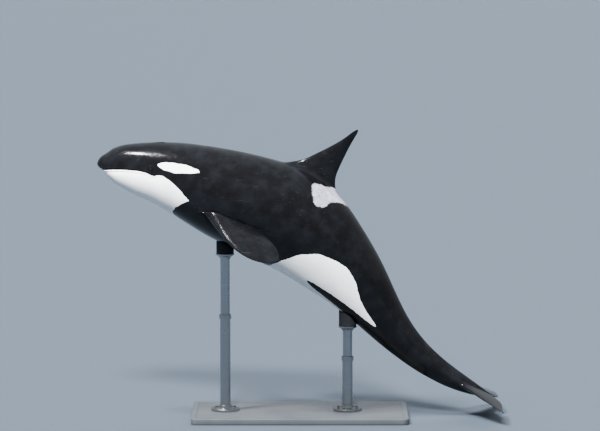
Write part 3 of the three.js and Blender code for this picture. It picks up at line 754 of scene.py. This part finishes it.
hide, hide_shader = new_material("wet orca skin")
on_hide = add_node(hide, "TexCoord", "Object", {})

# Pattern, size in millimetres, detail and contrast. Water ripples of 5 mm are drawn at 45 mm to show.
pattern = {}
for name, size, detail, contrast in (
    ("mottle", 180, 5, 0.6), ("cloud", 90, 6, 0.65), ("film", 60, 5, 0.6), ("ripple", 45, 3, 0.5),
):
    settings = {"Vector": on_hide, "Scale": per_metre(size), "Detail": detail, "Roughness": contrast}
    pattern[name] = add_node(hide, "TexNoise", "Fac", settings)

# Tone, the pattern that spreads it, and its colours from low to high
tone = {}
for name, spread, low, high, first, second in (
    ("black", "mottle", 0.35, 0.75, "#0d0d0f", "#16171a"),
    ("saddle", "cloud", 0.3, 0.7, "#787683", "#a19fac"),
    ("fluke", "cloud", 0.3, 0.7, "#b9bcc2", "#e6e7e8"),
    ("white", "mottle", 0.3, 0.75, "#f0f1f0", "#e3e6ea"),
):
    share = {"Value": pattern[spread], "From Min": low, "From Max": high}
    share = add_node(hide, "MapRange", "Result", share, interpolation_type="SMOOTHSTEP")
    tone[name] = add_node(hide, "Mix", 2, {0: share, 6: linear(first), 7: linear(second)}, data_type="RGBA")

# Old scratches run along the body. They are a few millimetres wide and drawn at 20 mm to show.
SCRATCH_LENGTH, SCRATCH_WIDTH = 220, 20
stretch = SCRATCH_LENGTH / SCRATCH_WIDTH
settings = {"Vector": on_hide, "Scale": (1, stretch, stretch), "Rotation": (0, 0.5, 0)}
along_body = add_node(hide, "Mapping", "Vector", settings)
settings = {"Vector": along_body, "Scale": per_metre(SCRATCH_LENGTH), "Detail": 4, "Roughness": 0.5}
scratches = add_node(hide, "TexNoise", "Fac", settings)
settings = {"Value": scratches, "From Min": 0.66, "From Max": 0.72, "To Max": 0.22}
scratches = add_node(hide, "MapRange", "Result", settings)
colour = add_node(hide, "Mix", 2, {0: scratches, 6: tone["black"], 7: linear("#3c3e44")}, data_type="RGBA")

# Marking, how far its edge wanders, how softly it fades in millimetres, and how fully it covers
for name, tone_name, wander, soft, cover in (
    ("saddle", "saddle", 11, 11, 0.95), ("pale_fluke", "fluke", 18, 22, 0.9), ("white", "white", 6, 3.5, 1),
):
    edge = add_node(hide, "Attribute", "Fac", {}, attribute_name=name)
    for size, reach in ((wander * 12, wander), (wander * 3, wander / 3)):
        settings = {"Vector": on_hide, "Scale": per_metre(size), "Detail": 3}
        waves = add_node(hide, "TexNoise", "Fac", settings)
        settings = {"Value": waves, "From Min": 0.3, "From Max": 0.7, "To Min": -reach, "To Max": reach}
        shift = add_node(hide, "MapRange", "Result", settings)
        edge = add_node(hide, "Math", "Value", {0: edge, 1: shift}, operation="ADD")
    settings = {"Value": edge, "From Min": -soft, "From Max": soft, "To Max": cover}
    share = add_node(hide, "MapRange", "Result", settings, interpolation_type="SMOOTHSTEP")
    colour = add_node(hide, "Mix", 2, {0: share, 6: colour, 7: tone[tone_name]}, data_type="RGBA")

settings = {"Value": pattern["film"], "From Min": 0.3, "From Max": 0.7, "To Min": 0.12, "To Max": 0.24}
film = add_node(hide, "MapRange", "Result", settings)
settings = {"Height": pattern["ripple"], "Strength": 0.25, "Distance": 0.004}
ripples = add_node(hide, "Bump", "Normal", settings)
feed(hide, hide_shader, {
    "Base Color": colour, "Roughness": film, "Normal": ripples, "IOR": 1.38, "Coat Weight": 0.3,
    "Coat Roughness": 0.09, "Coat IOR": 1.33,
})


def deselect():
    bpy.ops.object.select_all(action="DESELECT")


def pick(*pieces):
    """Selects only these pieces and makes the first one active."""
    deselect()
    for piece in pieces:
        piece.select_set(True)
    bpy.context.view_layer.objects.active = pieces[0]


def finish_piece(piece, name, material, replaced=(), sharp=35):
    """Names a piece, smooths its shading up to sharp edges, and fixes it to the model."""
    piece.name = piece.data.name = name
    pick(piece)
    bpy.ops.object.transform_apply(location=True, rotation=True, scale=True)
    bpy.ops.object.shade_smooth_by_angle(angle=math.radians(sharp))
    piece.data.materials.clear()
    piece.data.materials.append(material)
    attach(piece, "root")
    if replaced:
        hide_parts(*replaced)


flesh = ["head", "lower_jaw", "chest", "midbody", "loin", "tail_stock", "dorsal_fin"]
flesh += [fin + side for fin in ("flipper", "fluke") for side in ("_left", "_right")]
finish_piece(skin, "orca_skin", hide, flesh, 180)


# Eyes: a glossy ball behind each pair of lids, with a clear cornea, a dark brown iris and a wide, low
# pupil. On a museum model it is cast resin with a polished coat, and only its front shows.
IRIS_RADIUS, PUPIL_WIDE, PUPIL_TALL, CORNEA_RISE = 0.0125, 0.0062, 0.0038, 0.0016
eye_place, eye_tail, eye_side, eye_out = eye_frame
eye_material, eye_shader = new_material("polished eye")
on_eye = add_node(eye_material, "TexCoord", "Object", {})
settings = {"Vector": on_eye, "Scale": per_metre(1.5), "Detail": 4, "Roughness": 0.6}
fibres = add_node(eye_material, "TexNoise", "Fac", settings)
settings = {0: fibres, 6: linear("#150b06"), 7: linear("#3a2416")}
colour = add_node(eye_material, "Mix", 2, settings, data_type="RGBA")
for name, soft, inner, outer in (("from_iris", 0.7, None, "#221a19"), ("from_pupil", 0.5, "#040305", None)):
    edge = add_node(eye_material, "Attribute", "Fac", {}, attribute_name=name)
    settings = {"Value": edge, "From Min": -soft, "From Max": soft}
    share = add_node(eye_material, "MapRange", "Result", settings)
    settings = {0: share, 6: linear(inner) if inner else colour, 7: linear(outer) if outer else colour}
    colour = add_node(eye_material, "Mix", 2, settings, data_type="RGBA")
feed(eye_material, eye_shader, {
    "Base Color": colour, "Roughness": 0.12, "IOR": 1.5, "Coat Weight": 1.0, "Coat Roughness": 0.03,
})

for side_name, mirror in (("left", 1), ("right", -1)):
    deselect()
    bpy.ops.mesh.primitive_uv_sphere_add(segments=48, ring_count=32, radius=EYE_RADIUS)
    ball = bpy.context.object
    places = vectors_of(ball.data.vertices)
    front = np.hypot(places[:, 0], places[:, 1])
    ahead = places[:, 2] > 0
    places[:, 2] += np.where(ahead, CORNEA_RISE * smooth_step(IRIS_RADIUS, 0.002, front), 0)
    pupil = (np.hypot(places[:, 0] / PUPIL_WIDE, places[:, 1] / PUPIL_TALL) - 1) * PUPIL_TALL
    for name, values in (("from_pupil", pupil), ("from_iris", front - IRIS_RADIUS)):
        keep_on_points(ball.data, name, np.where(ahead, values / MILLIMETRE, 9))
    placed = eye_place - eye_out * EYE_SINK + places @ np.array([eye_tail, eye_side, eye_out])
    placed[:, 1] *= mirror
    move_vertices(ball.data, placed)
    bpy.ops.object.mode_set(mode="EDIT")
    end_editing()
    finish_piece(ball, "eyeball_" + side_name, eye_material, ["eye_" + side_name], 180)


# Stand base: a thick steel plate with rounded corners and a shallow groove round its top, satin dark
# grey. It is powder coated, which leaves a fine orange peel and an even, soft sheen.
BASE_CORNER, BASE_BEVEL, GROOVE_INSET, GROOVE_WIDTH, GROOVE_DEPTH = 0.09, 0.012, 0.055, 0.012, 0.006
low, high = (np.array(corner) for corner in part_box("stand_base"))
deselect()
bpy.ops.mesh.primitive_cube_add(size=1, location=(low + high) / 2, scale=high - low)
base = bpy.context.object
bpy.ops.object.transform_apply(location=True, rotation=True, scale=True)
bpy.ops.object.mode_set(mode="EDIT")
select_only("EDGE", lambda edge: abs(edge.verts[0].co.z - edge.verts[1].co.z) > 0.01)
bpy.ops.mesh.bevel(offset=BASE_CORNER, segments=10, affect="EDGES")
select_only("FACE", lambda face: abs(face.normal.z) > 0.9)
bpy.ops.mesh.bevel(offset=BASE_BEVEL, segments=3, affect="EDGES")
select_only("FACE", lambda face: face.normal.z > 0.99 and face.calc_center_median().xy.length < 0.3)
bpy.ops.mesh.inset(thickness=GROOVE_INSET)
bpy.ops.mesh.extrude_region_move(TRANSFORM_OT_translate={"value": (0, 0, -GROOVE_DEPTH)})
bpy.ops.mesh.inset(thickness=GROOVE_WIDTH)
bpy.ops.mesh.extrude_region_move(TRANSFORM_OT_translate={"value": (0, 0, GROOVE_DEPTH)})
bpy.ops.object.mode_set(mode="OBJECT")


def soften_edges(piece, width, segments=2):
    """Rounds off a piece's sharp edges."""
    softening = piece.modifiers.new("soft edges", "BEVEL")
    softening.width, softening.segments = width, segments
    softening.limit_method, softening.angle_limit = "ANGLE", math.radians(40)
    bpy.context.view_layer.objects.active = piece
    bpy.ops.object.modifier_apply(modifier=softening.name)


soften_edges(base, 0.0015)


def clouded_finish(name, cloud, contrast, tones, sheen, grain, bump, ior):
    """A plain finish of two close tones and a sheen that vary in soft clouds, over a fine grain."""
    finish, shader = new_material(name)
    on_piece = add_node(finish, "TexCoord", "Object", {})
    settings = {"Vector": on_piece, "Scale": per_metre(cloud), "Detail": 5, "Roughness": contrast}
    clouds = add_node(finish, "TexNoise", "Fac", settings)
    low, high, first, second = tones
    share = add_node(finish, "MapRange", "Result", {"Value": clouds, "From Min": low, "From Max": high})
    colour = add_node(finish, "Mix", 2, {0: share, 6: linear(first), 7: linear(second)}, data_type="RGBA")
    low, high, glossy, dull = sheen
    settings = {"Value": clouds, "From Min": low, "From Max": high, "To Min": glossy, "To Max": dull}
    roughness = add_node(finish, "MapRange", "Result", settings)
    settings = {"Vector": on_piece, "Scale": per_metre(grain), "Detail": 2, "Roughness": 0.5}
    height = add_node(finish, "TexNoise", "Fac", settings)
    settings = {"Height": height, "Strength": bump[0], "Distance": bump[1]}
    normal = add_node(finish, "Bump", "Normal", settings)
    feed(finish, shader, {"Base Color": colour, "Roughness": roughness, "Normal": normal, "IOR": ior})
    return finish


# Handling leaves clouds 260 mm across. The orange peel is about 1 mm, drawn at 7 mm to show.
tones, sheen = (0, 1, "#3b3e41", "#484b4f"), (0.3, 0.7, 0.4, 0.52)
paint = clouded_finish("satin powder coat", 260, 0.6, tones, sheen, 7, (0.35, 0.0008), 1.5)
finish_piece(base, "stand_base_plate", paint, ["stand_base"])


# Feet: a turned steel flange with a weld collar round the rod, held to the base by six hexagon bolts
# on washers. It is stainless steel, brushed round and round, so its shine runs in fine rings.
def start_ring(x, radius, height, sides, fill="NGON"):
    """Adds a ring of vertices round the upright axis at x, and goes into edit mode."""
    deselect()
    place = (x, 0, height)
    bpy.ops.mesh.primitive_circle_add(vertices=sides, radius=radius, fill_type=fill, location=place)
    bpy.ops.object.transform_apply(location=True, rotation=True, scale=True)
    bpy.ops.object.mode_set(mode="EDIT")
    return bpy.context.object


def turned_piece(x, profile, sides=64):
    """A closed turned piece on the upright axis at x, drawn ring by ring: radius, height."""
    piece = start_ring(x, *profile[0], sides)
    for (last_radius, last_height), (radius, height) in zip(profile, profile[1:]):
        rise, share = (0, 0, height - last_height), radius / last_radius
        bpy.ops.mesh.extrude_region_move(TRANSFORM_OT_translate={"value": rise})
        bpy.ops.transform.resize(value=(share, share, 1), center_override=(x, 0, height))
    end_editing()
    return piece


def raised(rows, height):
    """Rows of radius and height in millimetres, in metres and over another height."""
    return [(radius * MILLIMETRE, height + over * MILLIMETRE) for radius, over in rows]


steel, steel_shader = new_material("brushed stainless steel")
on_steel = add_node(steel, "TexCoord", "Object", {})
# The brush lines are 0.3 mm apart, drawn at 6 mm and long round the rod.
brushed_round = add_node(steel, "Mapping", "Vector", {"Vector": on_steel, "Scale": (0.02, 0.02, 1)})
settings = {"Vector": brushed_round, "Scale": per_metre(6), "Detail": 5, "Roughness": 0.7}
brush_lines = add_node(steel, "TexNoise", "Fac", settings)
settings = {"Vector": on_steel, "Scale": per_metre(140), "Detail": 4, "Roughness": 0.6}
smears = add_node(steel, "TexNoise", "Fac", settings)
settings = {0: brush_lines, 6: linear("#9fa1a4"), 7: linear("#bfc1c3")}
colour = add_node(steel, "Mix", 2, settings, data_type="RGBA")
settings = {"Value": smears, "From Min": 0.3, "From Max": 0.7, "To Min": 0.26, "To Max": 0.38}
dulled = add_node(steel, "MapRange", "Result", settings)
lines = add_node(steel, "Bump", "Normal", {"Height": brush_lines, "Strength": 0.2, "Distance": 0.0005})
feed(steel, steel_shader, {"Base Color": colour, "Roughness": dulled, "Normal": lines, "Metallic": 1.0})

# Radius and height in millimetres: the weld collar over the flange, a washer, and a hexagon bolt's head
COLLAR = ((104, 0), (96, 3), (90, 9), (87, 20), (85.5, 36), (82, 42), (70, 45))
WASHER = ((22, 0), (22, 2.5), (21.5, 3), (10, 3))
BOLT_HEAD = ((17, 0), (17, 11), (14, 13), (8, 13), (6, 12))
FLANGE_EDGE, BOLT_RING, BOLTS = 0.006, 0.142, 6
for place in ("front", "rear"):
    (low_x, _, foot_bottom), (high_x, foot_radius, foot_top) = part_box("stand_foot_" + place)
    x = (low_x + high_x) / 2
    foot = turned_piece(x, [
        (foot_radius, foot_bottom), (foot_radius, foot_top - FLANGE_EDGE),
        (foot_radius - FLANGE_EDGE, foot_top), *raised(COLLAR, foot_top),
    ])
    soften_edges(foot, 0.0015)
    finish_piece(foot, "stand_flange_" + place, steel, ["stand_foot_" + place])
    washer = turned_piece(x, raised(WASHER, foot_top), 32)
    bolt = turned_piece(x, raised(BOLT_HEAD, foot_top + WASHER[-1][1] * MILLIMETRE), 6)
    soften_edges(bolt, 0.0008, 1)
    pick(bolt, washer)
    bpy.ops.object.join()
    first_bolt, bolt_places = bolt, vectors_of(bolt.data.vertices)
    for number in range(BOLTS):
        if number:
            pick(first_bolt)
            bpy.ops.object.duplicate(linked=False)
            bolt = bpy.context.object
        turn = 2 * math.pi * (number + 0.5) / BOLTS
        ring_place = [BOLT_RING * math.cos(turn), BOLT_RING * math.sin(turn), 0]
        move_vertices(bolt.data, bolt_places + ring_place)
        finish_piece(bolt, f"stand_bolt_{place}_{number + 1}", steel)


# Rods: a heavy stainless tube brushed like the feet, with a clamp ring where its two lengths join
# and a flared head that carries the pad.
CLAMP_SHARE, UPPER_SLIMMER, PAD_SEAT = 0.58, 0.006, 0.003
# Radius and height in millimetres: the clamp ring with a groove round it, and the head over the rod's
# top. The flare that leads to the head is in millimetres out from the upper tube.
CLAMP = ((80, 0), (83, 3), (83, 28), (80, 29), (80, 31), (83, 32), (83, 57), (80, 60))
HEAD = ((108, -18), (121, -14), (124, -11), (124, 3), (121, 6), (112, 6))
FLARE = ((0, -75), (6, -60), (20, -38))
pad_bottoms = {}
for place in ("front", "rear"):
    (low_x, _, rod_bottom), (high_x, rod_radius, rod_top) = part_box("stand_rod_" + place)
    x, upper = (low_x + high_x) / 2, rod_radius - UPPER_SLIMMER
    clamp = rod_bottom + (rod_top - rod_bottom) * CLAMP_SHARE
    clamp_rows, flare_rows = raised(CLAMP, clamp), raised(FLARE, rod_top)
    rod = turned_piece(x, [
        (rod_radius, rod_bottom), (rod_radius, clamp), *clamp_rows, (upper, clamp_rows[-1][1]),
        *((upper + out, height) for out, height in flare_rows), *raised(HEAD, rod_top),
    ])
    finish_piece(rod, "stand_tube_" + place, steel, ["stand_rod_" + place])
    pad_bottoms[place] = x, rod_top + PAD_SEAT


# Pads: a block of black moulded rubber on each rod, its top shaped to the belly it carries and its
# rim rolled over. The rubber is matt, with a faint grey bloom.
PAD_RADIUS, PAD_SIDES, PAD_LIP, PAD_GAP = 0.117, 64, 0.009, 0.0005
# Bloom lies in patches 70 mm across. The mould's grain is about 1 mm, drawn at 5 mm to show.
tones, sheen = (0.35, 0.75, "#1d1e20", "#2c2d30"), (0.35, 0.75, 0.68, 0.82)
rubber = clouded_finish("matt moulded rubber", 70, 0.65, tones, sheen, 5, (0.4, 0.0006), 1.52)

skin_tree = BVHTree.FromObject(skin, bpy.context.evaluated_depsgraph_get())
for place, (x, pad_bottom) in pad_bottoms.items():
    pad = start_ring(x, PAD_RADIUS, pad_bottom, PAD_SIDES, "NOTHING")
    bpy.ops.mesh.fill_grid(span=PAD_SIDES // 4)
    bpy.ops.mesh.extrude_region_move()
    edited = bmesh.from_edit_mesh(pad.data)
    for vertex in (v for v in edited.verts if v.select):
        belly, _, _, _ = skin_tree.ray_cast((vertex.co.x, vertex.co.y, 0), (0, 0, 1))
        vertex.co.z = belly.z - PAD_GAP
    bmesh.update_edit_mesh(pad.data)
    end_editing()
    soften_edges(pad, PAD_LIP, 4)
    finish_piece(pad, "stand_rubber_" + place, rubber, ["stand_pad_" + place])


# Floor and light: a plain studio floor of matt blue-grey paint under a soft, even sky. Sun-like lamps
# light the animal from above and in front, from the left side and, softly, from the far side. Only the
# overhead one shows in the wet skin, as a streak over the forehead.
FLOOR_SIZE = 400
deselect()
bpy.ops.mesh.primitive_plane_add(size=FLOOR_SIZE)
floor = bpy.context.object
floor.name = floor.data.name = "floor"
floor_paint, floor_shader = new_material("matt floor paint")
looks = {"Base Color": linear("#40474f"), "Roughness": 0.8, "Specular IOR Level": 0.2}
feed(floor_paint, floor_shader, looks)
floor.data.materials.append(floor_paint)

world = bpy.data.worlds.new("studio")
bpy.context.scene.world = world
world.use_nodes = True
sky = world.node_tree.nodes["Background"]
sky_way = add_node(world, "TexCoord", "Generated", {})
sky_height = add_node(world, "SeparateXYZ", "Z", {"Vector": sky_way})
settings = {"Value": sky_height, "From Min": 0.02, "From Max": 0.7, "To Min": 0.28, "To Max": 0.5}
sky_light = add_node(world, "MapRange", "Result", settings)
feed(world, sky, {"Color": (0.88, 0.94, 1.0, 1), "Strength": sky_light})

# Lamp, the way to it, its strength, its width in degrees, and if it shows in the wet shine
for name, way, strength, width, shines in (
    ("key", (-0.45, -0.3, 0.84), 9, 14, False),
    ("overhead", (-0.25, -0.15, 0.95), 2.2, 5, True),
    ("near side", (-0.05, -0.75, 0.66), 9, 10, False),
    ("far side", (0.35, 0.8, 0.5), 4, 40, False),
):
    lamp_data = bpy.data.lights.new(name, "SUN")
    lamp_data.energy, lamp_data.angle = strength, math.radians(width)
    lamp = bpy.data.objects.new(name, lamp_data)
    bpy.context.scene.collection.objects.link(lamp)
    lamp.rotation_euler = Vector(way).to_track_quat("Z", "Y").to_euler()
    lamp.visible_glossy = shines


# Camera: a long lens from far off the left side and a little above, as in the photo. The look keeps
# the deep blacks and clean whites of the animal.
LENS_MM, SENSOR_MM, DISTANCE, ELEVATION, AIM_HEIGHT = 200, 36, 44.67, 6, 2.72
camera_data = bpy.data.cameras.new("camera")
camera = bpy.data.objects.new("camera", camera_data)
bpy.context.scene.collection.objects.link(camera)
camera_data.lens, camera_data.sensor_width = LENS_MM, SENSOR_MM
camera_data.clip_start, camera_data.clip_end = 1, 1000
elevation, aim = math.radians(ELEVATION), Vector((0, 0, AIM_HEIGHT))
camera.location = aim + Vector((0, -math.cos(elevation), math.sin(elevation))) * DISTANCE
camera.rotation_euler = (aim - camera.location).to_track_quat("-Z", "Y").to_euler()
bpy.context.scene.camera = camera
bpy.context.scene.view_settings.look = "AgX - Medium High Contrast"
